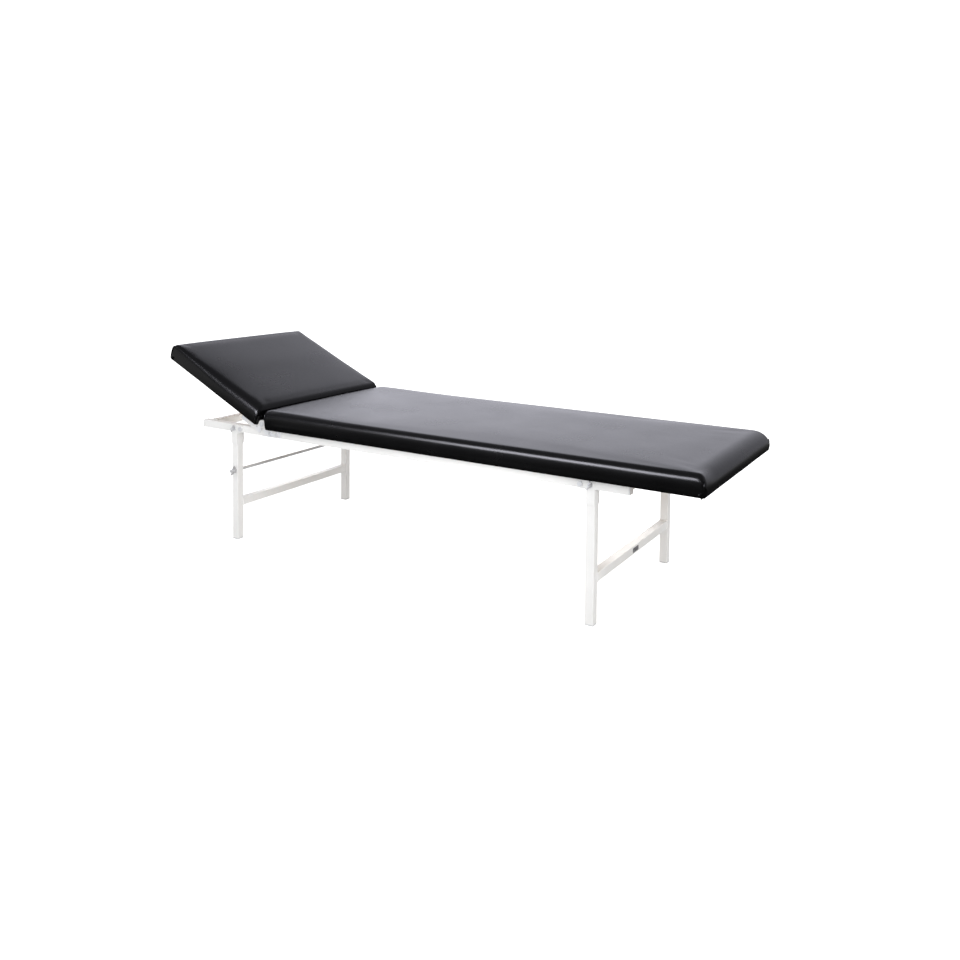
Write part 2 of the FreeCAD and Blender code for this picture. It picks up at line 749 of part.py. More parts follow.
for end, (leg_x, inboard) in legs.items():
    upright = leg_tube(leg_x)
    if end == "head":
        upright = with_rod_hole(upright)
    nodes[f"near_{end}_leg"] = upright
    nodes[f"far_{end}_leg"] = far(upright)
    nodes[f"near_{end}_leg_plates"] = leg_plates(leg_x, inboard)
    nodes[f"far_{end}_leg_plates"] = far(leg_plates(leg_x, inboard))
    nodes[f"{end}_leg_crossbar"] = crossbar(leg_x)
    nodes[f"{end}_leg_feet"] = both(foot_plug(leg_x))
    nodes[f"near_{end}_wing_nut"] = lock_wing_nut(leg_x)
    nodes[f"far_{end}_wing_nut"] = far(lock_wing_nut(leg_x))

os.makedirs("parts", exist_ok=True)
for name, shape in nodes.items():
    shape.exportStep(f"parts/{name}.step")
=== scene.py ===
import json
import math
from collections import namedtuple

import bmesh
import bpy
import numpy as np
from mathutils import Matrix, Vector, noise


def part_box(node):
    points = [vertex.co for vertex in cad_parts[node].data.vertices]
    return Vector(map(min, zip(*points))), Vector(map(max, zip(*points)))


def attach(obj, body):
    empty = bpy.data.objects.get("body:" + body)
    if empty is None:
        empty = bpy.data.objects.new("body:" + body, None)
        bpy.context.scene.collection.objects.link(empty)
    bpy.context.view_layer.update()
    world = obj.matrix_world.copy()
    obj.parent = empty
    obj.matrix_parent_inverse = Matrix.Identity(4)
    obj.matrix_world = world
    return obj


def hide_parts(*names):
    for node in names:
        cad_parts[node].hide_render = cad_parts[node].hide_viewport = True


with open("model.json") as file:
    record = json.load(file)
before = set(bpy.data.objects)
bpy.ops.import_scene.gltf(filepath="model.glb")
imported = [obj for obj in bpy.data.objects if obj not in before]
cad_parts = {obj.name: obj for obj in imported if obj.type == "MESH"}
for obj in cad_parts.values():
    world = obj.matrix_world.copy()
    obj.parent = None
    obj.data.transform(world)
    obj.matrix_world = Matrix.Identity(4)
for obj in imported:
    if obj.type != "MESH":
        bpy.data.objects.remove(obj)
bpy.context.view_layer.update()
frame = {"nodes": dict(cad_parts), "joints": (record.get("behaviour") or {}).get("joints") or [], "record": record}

# A relaxation couch: two vinyl pads on a white square-tube frame, on a plain white floor.
# Metres. +X runs towards the foot end, -Y is the near side, +Z is up.

nodes = frame["nodes"]
joints = {joint["name"]: joint for joint in frame["joints"]}

# Camera, at the photograph's viewing angle
photo_size = 960
camera_place = Vector((1.5953, -2.4381, 0.9997))
camera_yaw = math.radians(-31.22)
camera_pitch = math.radians(-3.0)
camera_roll = math.radians(0.55)
camera_focal = 916.7
camera_shift = -0.1998
sensor_width = 36.0

# Pads: form of the cover, with rolls and tucks given as a run and a drop
shoulder_drop = 0.005
joint_lift = 0.003
end_crown = 0.0015
middle_crown = 0.0035
crown_power = 4
soft_run = 0.35
start_shrink = 0.0012
main_edge_radius = 0.020
head_edge_radius = 0.012
head_near_edge_radius = 0.028
round_edge_run = 0.3
side_tuck = 0.005
side_bulge = 0.0015
side_waist = 0.0005
hem_radius = 0.003
corner_round = (0.010, 0.010)
main_joint_roll = (0.009, 0.009)
head_joint_roll = (0.019, 0.021)
foot_roll = (0.046, 0.041)
foot_near_roll = (0.022, 0.038)
head_roll = (0.016, 0.024)
near_roll_reach = 0.3
foot_tuck = (0.008, 0.013)
head_tuck = (0.008, 0.009)
cover_return = 0.028
pocket_depth = 0.003

# Pads: mesh and swelling
crown_steps = 56
edge_steps = 8
side_steps = 6
hem_steps = 3
roll_steps = 8
station_gap = 0.010
held_height = 0.012
held_ends = 0.003
swell_pressure = 4.0
swell_frames = 20
swell_quality = 4
swell_of_top = 0.0012
swell_of_sides = 0.0015
wave_of_top = 0.00015
wave_of_sides = 0.0005
wave_scale = 9.0
sharp_angle = math.radians(50)
facing_down = -0.9

# Folded corners of the covers
fold_inset = 0.005
fold_radius = 0.0022
fold_reach = 0.6
tuck_from = Vector((-0.014, -0.003, 0.012))
tuck_to = Vector((-0.011, -0.007, -0.002))
tuck_radii = (0.0075, 0.0012)
tuck_flatness = 0.3
tuck_steps = 7

# Staples under the boards
staple_gap = 0.045
staple_inset = 0.013
staple_size = (0.0105, 0.0011, 0.0008)
staple_thins_from = 0.9
staple_thins_to = 0.6
rail_clear = 0.25

# Welds between tubes
weld_corner = 0.002
weld_radius = 0.0021
weld_ripple = 0.14
weld_wave = 0.0036
weld_step = 0.0009
weld_corner_steps = 5

# Blank label plate on the foot crossbar
label_size = (0.0012, 0.040, 0.013)
label_corner = 0.002
label_corner_steps = 5
label_bevel = 0.3
label_pin_radius = 0.0011
label_pin_heights = (0.0, 0.6, 0.85, 1.0)
label_pin_tip = 0.04
label_pin_sides = 12

# Stage and light
floor_half = 14.0
floor_colour = (0.8, 0.8, 0.8)
floor_glow = 0.85
mirrored_floor = (0.5, 0.03)
mirrored_reach = (-3.0, -1.4)
mirrored_back = (0.0, 0.32)
back_reach = (1.2, 6.0)
wall_glow = (1.38, 0.3)
wall_reach = (-0.62, 0.45)
front_glow = 0.12
front_reach = (-0.35, 0.2)
ceiling_glow = 0.22
wall_top = (36.5, 45.0)
white_glow = 1.2
soft_glow = 0.9
mirrored_tint = (0.97, 0.97, 1.08)
key_place = Vector((-0.75, -3.05, 1.35))
key_size = (1.7, 1.5)
key_power = 122.0
key_colour = (0.96, 0.96, 1.06)
front_place = Vector((0.3, -3.0, 2.35))
front_size = (2.4, 1.6)
front_power = 14.0
fill_place = Vector((3.4, -1.6, 2.0))
fill_size = (2.0, 1.6)
fill_power = 34.0
couch_middle = Vector((0.0, 0.0, 0.35))
leg_light_place = Vector((0.45, -0.95, 0.35))
leg_light_target = Vector((-0.65, -0.6, 0.15))
leg_light_size = (0.8, 0.5)
leg_light_power = 2.0

# Small lights close to cross tubes that the pads shade
tube_light_gap = 0.08
tube_light_size = (0.36, 0.02)
head_bar_power = 0.075
foot_bar_power = 0.095
head_tube_power = 0.07


# Helpers for meshes
def new_piece(name, verts, faces):
    """A mesh object from points and faces, with its faces looking outwards."""
    mesh = bpy.data.meshes.new(name)
    mesh.from_pydata([tuple(v) for v in verts], [], faces)
    work = bmesh.new()
    work.from_mesh(mesh)
    bmesh.ops.recalc_face_normals(work, faces=work.faces)
    for face in work.faces:
        face.smooth = True
    work.to_mesh(mesh)
    work.free()
    piece = bpy.data.objects.new(name, mesh)
    bpy.context.scene.collection.objects.link(piece)
    return piece


def points_of(mesh):
    """A mesh's points as an array."""
    flat = np.zeros(len(mesh.vertices) * 3)
    mesh.vertices.foreach_get("co", flat)
    return flat.reshape(-1, 3)


def set_points(mesh, points):
    """Moves a mesh's points to those of an array."""
    mesh.vertices.foreach_set("co", points.ravel())
    mesh.update()


def apply_modifiers(piece):
    """Turns a piece and its modifiers into a plain mesh."""
    graph = bpy.context.evaluated_depsgraph_get()
    mesh = bpy.data.meshes.new_from_object(piece.evaluated_get(graph))
    piece.modifiers.clear()
    piece.data = mesh


def dress(piece, body, slot, finish=None):
    """Gives a new piece its body, its slot and its finish, which is the slot's own one unless given."""
    piece.data.materials.clear()
    piece.data.materials.append(finish or finishes[slot])
    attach(piece, body)


# Helpers for finishes
def new_material(name):
    """A material with its node tree and its shader."""
    material = bpy.data.materials.new(name)
    material.use_nodes = True
    tree = material.node_tree
    return material, tree, tree.nodes["Principled BSDF"]


def add(tree, kind, inputs, **settings):
    """A node with its settings; an input is a value or another node's output."""
    made = tree.nodes.new(kind)
    for key, value in settings.items():
        setattr(made, key, value)
    for key, value in inputs.items():
        if isinstance(value, bpy.types.NodeSocket):
            tree.links.new(value, made.inputs[key])
        else:
            made.inputs[key].default_value = value
    return made


def place_of(tree, stretch=(1, 1, 1)):
    """Coordinates in metres on the object, stretched along the axes."""
    coordinates = add(tree, "ShaderNodeTexCoord", {}).outputs["Object"]
    return add(tree, "ShaderNodeMapping", {"Vector": coordinates, "Scale": stretch}).outputs["Vector"]


def noise_of(tree, place, scale, detail=3.0):
    """Soft noise around one half."""
    values = {"Vector": place, "Scale": scale, "Detail": detail}
    return add(tree, "ShaderNodeTexNoise", values).outputs["Fac"]


def cells_of(tree, place, scale, feature="F1"):
    """Distances and colours of a cell pattern."""
    return add(tree, "ShaderNodeTexVoronoi", {"Vector": place, "Scale": scale}, feature=feature).outputs


def spread(tree, value, low, high, start=0.3, end=0.7):
    """A value turned from one range to another."""
    values = {"Value": value, "From Min": start, "From Max": end, "To Min": low, "To Max": high}
    return add(tree, "ShaderNodeMapRange", values).outputs["Result"]


def values_between(tree, share, first, second):
    """A value between two values, each given or worked out."""
    values = {"Factor": share, "A": first, "B": second}
    return add(tree, "ShaderNodeMix", values, data_type="FLOAT").outputs["Result"]


def colours_between(tree, share, first, second):
    """A colour between two colours, each given or worked out."""
    mix = tree.nodes.new("ShaderNodeMix")
    mix.data_type = "RGBA"
    tree.links.new(share, mix.inputs["Factor"])
    for socket, colour in ((mix.inputs[6], first), (mix.inputs[7], second)):
        if isinstance(colour, bpy.types.NodeSocket):
            tree.links.new(colour, socket)
        else:
            socket.default_value = (*colour, 1.0)
    return mix.outputs[2]


def relief(tree, shader, layers):
    """Bumps from several heights, each with its depth in metres."""
    values = {}
    for height, depth in layers:
        values.update({"Height": height, "Distance": depth})
        values["Normal"] = add(tree, "ShaderNodeBump", values).outputs["Normal"]
    tree.links.new(values["Normal"], shader.inputs["Normal"])


# Finishes
def black_vinyl():
    """Smooth black vinyl with a fine grain and a slightly uneven gloss."""
    material, tree, shader = new_material("vinyl_finish")
    place = place_of(tree)
    uneven = noise_of(tree, place, 7.0, 4.0)
    colour = colours_between(tree, uneven, (0.0012, 0.0012, 0.0013), (0.0022, 0.0022, 0.0024))
    tree.links.new(colour, shader.inputs["Base Color"])
    tree.links.new(spread(tree, uneven, 0.24, 0.28), shader.inputs["Roughness"])
    shader.inputs["IOR"].default_value = 1.45
    grain = cells_of(tree, place, 850.0, "SMOOTH_F1")["Distance"]
    pores = noise_of(tree, place, 2600.0, 2.0)
    relief(tree, shader, [(grain, 0.00006), (pores, 0.00003)])
    return material


def white_paint():
    """Satin white powder coat with a faint orange peel and a few dull specks."""
    material, tree, shader = new_material("paint_finish")
    place = place_of(tree)
    cloudy = noise_of(tree, place, 14.0, 3.0)
    clean = colours_between(tree, cloudy, (0.84, 0.84, 0.83), (0.89, 0.89, 0.885))
    specks = spread(tree, noise_of(tree, place, 420.0, 2.0), 0.0, 1.0, 0.71, 0.76)
    colour = colours_between(tree, specks, clean, (0.62, 0.61, 0.59))
    tree.links.new(colour, shader.inputs["Base Color"])
    tree.links.new(spread(tree, cloudy, 0.32, 0.46), shader.inputs["Roughness"])
    peel = noise_of(tree, place, 520.0, 2.0)
    relief(tree, shader, [(peel, 0.00008)])
    return material


def zinc_steel():
    """Zinc-plated sheet with the blue and yellow tints of its passivation."""
    material, tree, shader = new_material("zinc_finish")
    place = place_of(tree)
    tint = noise_of(tree, place, 42.0, 3.0)
    colour = colours_between(tree, spread(tree, tint, 0.0, 1.0), (0.84, 0.86, 0.9), (0.92, 0.9, 0.85))
    tree.links.new(colour, shader.inputs["Base Color"])
    shader.inputs["Metallic"].default_value = 0.3
    rolled = noise_of(tree, place_of(tree, (120, 900, 900)), 1.0, 2.0)
    tree.links.new(spread(tree, rolled, 0.28, 0.46), shader.inputs["Roughness"])
    relief(tree, shader, [(rolled, 0.00003)])
    return material


def bright_steel():
    """Drawn and turned steel with fine lines."""
    material, tree, shader = new_material("bright_finish")
    lines = noise_of(tree, place_of(tree, (1500, 60, 1500)), 1.0, 2.0)
    dull = noise_of(tree, place_of(tree), 55.0, 3.0)
    colour = colours_between(tree, dull, (0.62, 0.63, 0.65), (0.82, 0.83, 0.85))
    tree.links.new(colour, shader.inputs["Base Color"])
    shader.inputs["Metallic"].default_value = 0.25
    tree.links.new(spread(tree, lines, 0.24, 0.44), shader.inputs["Roughness"])
    relief(tree, shader, [(lines, 0.00003)])
    return material


def cast_steel():
    """Dull zinc-plated cast steel with a rough skin."""
    material, tree, shader = new_material("cast_finish")
    place = place_of(tree)
    skin = noise_of(tree, place, 700.0, 4.0)
    patches = noise_of(tree, place, 130.0, 3.0)
    colour = colours_between(tree, patches, (0.5, 0.5, 0.51), (0.7, 0.7, 0.71))
    tree.links.new(colour, shader.inputs["Base Color"])
    shader.inputs["Metallic"].default_value = 0.4
    tree.links.new(spread(tree, patches, 0.38, 0.58), shader.inputs["Roughness"])
    relief(tree, shader, [(skin, 0.00015)])
    return material


def grey_plastic():
    """Moulded grey plastic with a fine matt texture."""
    material, tree, shader = new_material("plastic_finish")
    place = place_of(tree)
    texture = noise_of(tree, place, 1300.0, 2.0)
    worn = noise_of(tree, place, 60.0, 3.0)
    colour = colours_between(tree, worn, (0.62, 0.63, 0.64), (0.74, 0.75, 0.76))
    tree.links.new(colour, shader.inputs["Base Color"])
    tree.links.new(spread(tree, worn, 0.45, 0.62), shader.inputs["Roughness"])
    relief(tree, shader, [(texture, 0.00008)])
    return material


def pale_rubber():
    """Matt pale rubber."""
    material, tree, shader = new_material("rubber_finish")
    place = place_of(tree)
    dust = noise_of(tree, place, 90.0, 4.0)
    colour = colours_between(tree, dust, (0.68, 0.68, 0.66), (0.78, 0.78, 0.76))
    tree.links.new(colour, shader.inputs["Base Color"])
    tree.links.new(spread(tree, dust, 0.7, 0.9), shader.inputs["Roughness"])
    relief(tree, shader, [(noise_of(tree, place, 900.0, 3.0), 0.0001)])
    return material


def label_print():
    """A blank dark label, mottled with wear."""
    material, tree, shader = new_material("label_finish")
    place = place_of(tree)
    worn = noise_of(tree, place, 260.0, 3.0)
    colour = colours_between(tree, spread(tree, worn, 0.0, 1.0), (0.05, 0.05, 0.055), (0.3, 0.3, 0.31))
    tree.links.new(colour, shader.inputs["Base Color"])
    tree.links.new(spread(tree, worn, 0.35, 0.6), shader.inputs["Roughness"])
    relief(tree, shader, [(noise_of(tree, place, 1500.0, 2.0), 0.00004)])
    return material


def particle_board():
    """Raw particle board: pressed chips of several browns."""
    material, tree, shader = new_material("board_finish")
    chips = cells_of(tree, place_of(tree, (260, 420, 420)), 1.0)
    dust = cells_of(tree, place_of(tree), 900.0)["Distance"]
    tone = add(tree, "ShaderNodeSeparateColor", {"Color": chips["Color"]}).outputs["Red"]
    chip = colours_between(tree, tone, (0.32, 0.2, 0.1), (0.6, 0.44, 0.26))
    colour = colours_between(tree, dust, chip, (0.5, 0.36, 0.21))
    tree.links.new(colour, shader.inputs["Base Color"])
    shader.inputs["Roughness"].default_value = 0.8
    relief(tree, shader, [(chips["Distance"], 0.0002), (dust, 0.0001)])
    return material


finishes = {
    "black_vinyl": black_vinyl(),
    "white_paint": white_paint(),
    "zinc_steel": zinc_steel(),
    "bright_steel": bright_steel(),
    "cast_steel": cast_steel(),
    "grey_plastic": grey_plastic(),
    "pale_rubber": pale_rubber(),
    "board": particle_board(),
}

for subpart in frame["record"]["subparts"]:
    finish = finishes.get(subpart["material_slot"])
    for holder in nodes[subpart["node"]].material_slots:
        holder.material = finish


# Pads. A pad's own coordinates run from its joint end outwards, across it, and up from its underside.
Pad = namedtuple(
    "Pad",
    "name body length half_width thickness edge near_edge joint_roll end_roll near_roll end_tuck place",
)

hinge = Vector(joints["head_tilt"]["pos_m"])
head_tilt = math.radians(-joints["head_tilt"]["range_deg"][0])
head_turn = Matrix.Translation(hinge) @ Matrix.Rotation(head_tilt, 4, "Y") @ Matrix.Translation(-hinge)


def flat_box(node, turn):
    """The corners of a node's box, with the node turned flat about the hinge."""
    back = np.array(turn.inverted())
    points = points_of(nodes[node].data) @ back[:3, :3].T + back[:3, 3]
    return points.min(0), points.max(0)


def make_pad(name, body, turn, outward, *rounding):
    """A pad's sizes and place, read from its cover; outward is the way from the hinge along X."""
    low, high = flat_box(f"{name}_cover", turn)
    start = low[0] if outward > 0 else high[0]
    flip = Matrix.Diagonal((outward, 1, 1, 1))
    place = turn @ Matrix.Translation((start, 0, low[2])) @ flip
    length, thickness = high[0] - low[0], high[2] - low[2]
    return Pad(name, body, length, high[1], thickness, *rounding, place)


main_edges = (main_edge_radius, main_edge_radius)
main_rounding = (*main_edges, main_joint_roll, foot_roll, foot_near_roll, foot_tuck)
head_edges = (head_edge_radius, head_near_edge_radius)
head_rounding = (*head_edges, head_joint_roll, head_roll, head_roll, head_tuck)
pads = [
    make_pad("main", "frame", Matrix.Identity(4), 1, *main_rounding),
    make_pad("head", "head_section", head_turn, -1, *head_rounding),
]


def roll_fall(roll, distance):
    """How far a rounded edge falls short of full size, at a distance in from its tip."""
    run, drop = roll
    if distance >= run:
        return 0.0
    return drop * (1 - math.sqrt(1 - ((run - distance) / run) ** 2))


def roll_places(run):
    """Distances from the tip of a rounded edge, closer together towards the tip."""
    return [run * (1 - math.cos(math.radians(90 * k / roll_steps))) for k in range(roll_steps + 1)]


def pad_stations(pad):
    """Places along a pad at which its sections are drawn."""
    first = roll_places(pad.joint_roll[0])
    last = [pad.length - place for place in reversed(roll_places(pad.end_roll[0]))]
    count = round((last[0] - first[-1]) / station_gap)
    between = [first[-1] + (last[0] - first[-1]) * k / count for k in range(1, count)]
    return first + between + last


def arc(centre_y, centre_z, radius, start, end, steps):
    """Points of an arc after its first one; angles are in degrees from +Y towards +Z."""
    turns = [math.radians(start + (end - start) * k / steps) for k in range(1, steps + 1)]
    return [(centre_y + radius * math.cos(t), centre_z + radius * math.sin(t)) for t in turns]


def eased(share):
    """A share that starts and ends gently, and stays at 1."""
    return 1.0 if share >= 1 else share * share * (3 - 2 * share)


def softness_at(pad, along):
    """From 0 at a pad's ends to 1 along its middle, where the filling is fuller than at the corners."""
    return eased(min(along, pad.length - along) / min(soft_run, pad.length / 2))


def pad_side(pad, along, end_roll, edge_radius):
    """Half a pad's outline at one place, from the hem up the drawn-in side and round the edge to the top."""
    to_end = pad.length - along
    corners = roll_fall(corner_round, along) + roll_fall(corner_round, to_end)
    waist = side_waist * math.sin(math.pi * along / pad.length)
    half = pad.half_width - start_shrink - waist - corners
    base = roll_fall(pad.end_tuck, to_end)
    fall = roll_fall(pad.joint_roll, along) + roll_fall(end_roll, to_end)
    lift = joint_lift * (1 - softness_at(pad, along)) if along < pad.length / 2 else 0.0
    full = pad.thickness - shoulder_drop
    shoulder = full + lift - fall
    radius = pad.edge + (edge_radius - pad.edge) * eased(to_end / round_edge_run)
    edge = radius * (shoulder - base) / full
    side_top = shoulder - edge
    foot = half - side_tuck
    side = [(foot - hem_radius, base)]
    side += arc(foot - hem_radius, base + hem_radius, hem_radius, -90, 0, hem_steps)
    for k in range(1, side_steps + 1):
        share = k / side_steps
        out = foot + side_tuck * share + side_bulge * 4 * share * (1 - share)
        side.append((out, base + hem_radius + (side_top - base - hem_radius) * share))
    return side + arc(half - edge, side_top, edge, 0, 90, edge_steps)


def pad_section(pad, along):
    """A section of a pad: underside, far side, crowned top and near side, whose end is squarer."""
    far = pad_side(pad, along, pad.end_roll, pad.edge)
    near = pad_side(pad, along, pad.near_roll, pad.near_edge)
    crown_height = end_crown + (middle_crown - end_crown) * softness_at(pad, along)
    bottom = [(far[0][0] * (2 * k / crown_steps - 1), far[0][1]) for k in range(crown_steps + 1)]
    top = []
    for k in range(1, crown_steps):
        share = 1 - 2 * k / crown_steps
        nearness = max(0.0, 1 - (1 + share) / near_roll_reach) ** 2
        shoulder = far[-1][1] + (near[-1][1] - far[-1][1]) * nearness
        reach = far[-1][0] if share > 0 else near[-1][0]
        top.append((reach * share, shoulder + crown_height * (1 - abs(share) ** crown_power)))
    return bottom + far[1:] + top + [(-y, z) for y, z in reversed(near[1:])]


def pad_mesh(pad):
    """The closed skin of a pad, as sections joined by faces, in the pad's own coordinates."""
    sections = [[(along, y, z) for y, z in pad_section(pad, along)] for along in pad_stations(pad)]
    around = len(sections[0])
    faces = []
    for k in range(len(sections) - 1):
        for i in range(around):
            j = (i + 1) % around
            faces.append([k * around + i, k * around + j, (k + 1) * around + j, (k + 1) * around + i])
    right = crown_steps + hem_steps + side_steps + edge_steps
    left = right + crown_steps
    for start in (0, (len(sections) - 1) * around):
        for i in range(crown_steps):
            faces.append([start + i, start + i + 1, start + left - i - 1, start + left - i])
        faces.append([start + i for i in range(crown_steps, right + 1)])
        faces.append([start + i for i in range(left, around)] + [start])
    return [point for section in sections for point in section], faces


def swell(piece, pad):
    """Blows a pad's skin up a little as cloth, held along its lower edge and at its ends."""
    rest = points_of(piece.data)
    along = rest[:, 0]
    held = (rest[:, 2] < held_height) | (along < held_ends) | (along > pad.length - held_ends)
    group = piece.vertex_groups.new(name="held")
    group.add([int(i) for i in np.flatnonzero(held)], 1.0, "REPLACE")
    cloth = piece.modifiers.new("swell", "CLOTH")
    cloth.settings.quality = swell_quality
    cloth.settings.use_pressure = True
    cloth.settings.uniform_pressure_force = swell_pressure
    cloth.settings.vertex_group_mass = group.name
    cloth.settings.effector_weights.gravity = 0.0
    cloth.point_cache.frame_start = 1
    cloth.point_cache.frame_end = swell_frames
    for step in range(1, swell_frames + 1):
        bpy.context.scene.frame_set(step)
    graph = bpy.context.evaluated_depsgraph_get()
    move = points_of(piece.evaluated_get(graph).data) - rest
    piece.modifiers.clear()
    piece.vertex_groups.clear()
    bpy.context.scene.frame_set(1)
    upward = np.clip([vertex.normal.z for vertex in piece.data.vertices], 0, 1)
    limit = swell_of_sides + (swell_of_top - swell_of_sides) * upward
    length = np.linalg.norm(move, axis=1)
    set_points(piece.data, rest + move * (limit / (length + limit))[:, None])


def unevenness(piece):
    """Shallow waves, as a stretched cover has."""
    rest = points_of(piece.data)
    waves = np.array([noise.noise(Vector(point) * wave_scale) for point in rest])
    normals = np.array([vertex.normal for vertex in piece.data.vertices])
    depth = wave_of_sides + (wave_of_top - wave_of_sides) * np.clip(normals[:, 2], 0, 1)
    set_points(piece.data, rest + normals * (waves * depth)[:, None])


def open_underside(piece, pad):
    """Sinks the underside inside the folded-under strip of the cover, where the board shows."""
    work = bmesh.new()
    work.from_mesh(piece.data)
    half = pad.half_width - cover_return
    reach = (cover_return, pad.length - pad.end_tuck[0] - cover_return)
    inside = []
    for face in work.faces:
        middle = face.calc_center_median()
        if face.normal.z < facing_down and abs(middle.y) < half and reach[0] < middle.x < reach[1]:
            inside.append(face)
    sunk = bmesh.ops.extrude_face_region(work, geom=inside)["geom"]
    sunk_points = [part for part in sunk if isinstance(part, bmesh.types.BMVert)]
    bmesh.ops.translate(work, verts=sunk_points, vec=(0, 0, pocket_depth))
    bmesh.ops.delete(work, geom=inside, context="FACES")
    bmesh.ops.recalc_face_normals(work, faces=work.faces)
    work.to_mesh(piece.data)
    work.free()


def set_in_place(piece, pad):
    """Moves a piece from its pad's own coordinates to the couch, with its faces still looking outwards."""
    piece.data.transform(pad.place)
    if pad.place.determinant() < 0:
        piece.data.flip_normals()


def cushion(pad):
    """A pad's vinyl cover with its filling."""
    piece = new_piece(f"{pad.name}_cushion", *pad_mesh(pad))
    swell(piece, pad)
    unevenness(piece)
    piece.modifiers.new("smooth", "SUBSURF").levels = 1
    apply_modifiers(piece)
    open_underside(piece, pad)
    set_in_place(piece, pad)
    piece.data.set_sharp_from_angle(angle=sharp_angle)
    dress(piece, pad.body, "black_vinyl")
    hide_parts(f"{pad.name}_cover", f"{pad.name}_foam")


for pad in pads:
    cushion(pad)


# Small pieces swept along a line
def sweep(path, radii, across, flatness=1.0, closed=False, sides=8):
    """Points and faces of a bar along a path; across sets where its width points and flatness its depth."""
    points, faces = [], []
    count = len(path)
    for k, (place, radius) in enumerate(zip(path, radii)):
        before = path[k - 1] if k or closed else place
        after = path[(k + 1) % count] if k < count - 1 or closed else place
        ahead = (after - before).normalized()
        wide = (across - ahead * across.dot(ahead)).normalized()
        deep = ahead.cross(wide) * flatness
        for i in range(sides):
            turn = 2 * math.pi * i / sides
            points.append(place + (wide * math.cos(turn) + deep * math.sin(turn)) * radius)
    for k in range(count if closed else count - 1):
        start, end = k * sides, (k + 1) % count * sides
        for i in range(sides):
            j = (i + 1) % sides
            faces.append([start + i, start + j, end + j, end + i])
    if not closed:
        faces += [list(range(sides)), list(range((count - 1) * sides, count * sides))]
    return points, faces


def joined(name, shapes):
    """One piece from several lots of points and faces."""
    points, faces = [], []
    for more_points, more_faces in shapes:
        faces += [[i + len(points) for i in face] for face in more_faces]
        points += more_points
    return new_piece(name, points, faces)


def tapered(radius, count):
    """Radii of a bar that thins out towards both ends."""
    return [radius * math.sin(math.pi * (k + 0.5) / count) ** 0.5 for k in range(count)]


def corner_folds(pad):
    """The creased vinyl at a pad's corners: a ridge up each corner and a tuck below the outer ones."""
    shapes = []
    ridge_end = 1 + hem_steps + side_steps + round(edge_steps * fold_reach)
    for along in (fold_inset, pad.length - fold_inset):
        for side, roll, edge in ((-1, pad.near_roll, pad.near_edge), (1, pad.end_roll, pad.edge)):
            outline = pad_side(pad, along, roll, edge)[1:ridge_end]
            path = [Vector((along, side * y, z)) for y, z in outline]
            shapes.append(sweep(path, tapered(fold_radius, len(path)), Vector((1, 0, 0))))
    for side in (-1, 1):
        corner = Vector((pad.length, side * pad.half_width, 0))
        start, end = (corner + offset * Vector((1, side, 1)) for offset in (tuck_from, tuck_to))
        steps = [k / tuck_steps for k in range(tuck_steps + 1)]
        path = [start.lerp(end, share) for share in steps]
        radii = [tuck_radii[0] + (tuck_radii[1] - tuck_radii[0]) * share for share in steps]
        shapes.append(sweep(path, radii, Vector((1, -side, 0)), tuck_flatness))
    piece = joined(f"{pad.name}_corner_folds", shapes)
    set_in_place(piece, pad)
    dress(piece, pad.body, "black_vinyl")


def staple(place, along):
    """A staple's flat crown, half sunk in the vinyl."""
    half, width, height = staple_size[0] / 2, staple_size[1] / 2, staple_size[2] / staple_size[1]
    shares = (-1, -staple_thins_from, staple_thins_from, 1)
    ends = [place + along * half * share for share in shares]
    radii = [width * staple_thins_to, width, width, width * staple_thins_to]
    return sweep(ends, radii, Vector((along.y, -along.x, 0)), height)


def staples(pad):
    """Staples all round the folded-under strip of the cover, but none where the rails lie."""
    shapes = []
    line = pad.half_width - staple_inset
    lengthwise = round(pad.length / staple_gap)
    for k in range(1, lengthwise):
        for side in (-1, 1):
            shapes.append(staple(Vector((pad.length * k / lengthwise, side * line, 0)), Vector((1, 0, 0))))
    crosswise = round(2 * rail_clear / staple_gap)
    for along in (staple_inset, pad.length - pad.end_tuck[0] - staple_inset):
        for k in range(crosswise + 1):
            across = rail_clear * (2 * k / crosswise - 1)
            shapes.append(staple(Vector((along, across, 0)), Vector((0, 1, 0))))
    piece = joined(f"{pad.name}_staples", shapes)
    set_in_place(piece, pad)
    dress(piece, pad.body, "bright_steel")


def weld_line(centre, half, corner, closed):
    """Points round a square tube's end, on a plane across Y; an open line leaves the upper side bare."""
    points = []
    for k, (sx, sz) in enumerate(((-1, 1), (-1, -1), (1, -1), (1, 1))):
        middle = centre + Vector((sx * (half - corner), 0, sz * (half - corner)))
        start = 90 + 90 * k
        for turn in np.linspace(start, start + 90, weld_corner_steps + 1):
            angle = math.radians(turn)
            points.append(middle + Vector((math.cos(angle), 0, math.sin(angle))) * corner)
    if closed:
        points.append(points[0])
    else:
        points = points[weld_corner_steps:-weld_corner_steps]
    spaced = [points[0]]
    for before, after in zip(points, points[1:]):
        count = max(1, round((after - before).length / weld_step))
        spaced += [before.lerp(after, k / count) for k in range(1, count + 1)]
    return spaced[:-1] if closed else spaced


def weld(tube, side, closed):
    """A bead round one end of a cross tube; side is -1 at its near end and 1 at its far end."""
    low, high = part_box(tube)
    centre = (low + high) / 2
    half = (high.x - low.x) / 2
    centre.y = low.y if side < 0 else high.y
    path = weld_line(centre, half, weld_corner, closed)
    turns = [2 * math.pi * k * weld_step / weld_wave for k in range(len(path))]
    radii = [weld_radius * (1 + weld_ripple * math.sin(turn)) for turn in turns]
    return sweep(path, radii, Vector((0, 1, 0)), 1.0, closed)


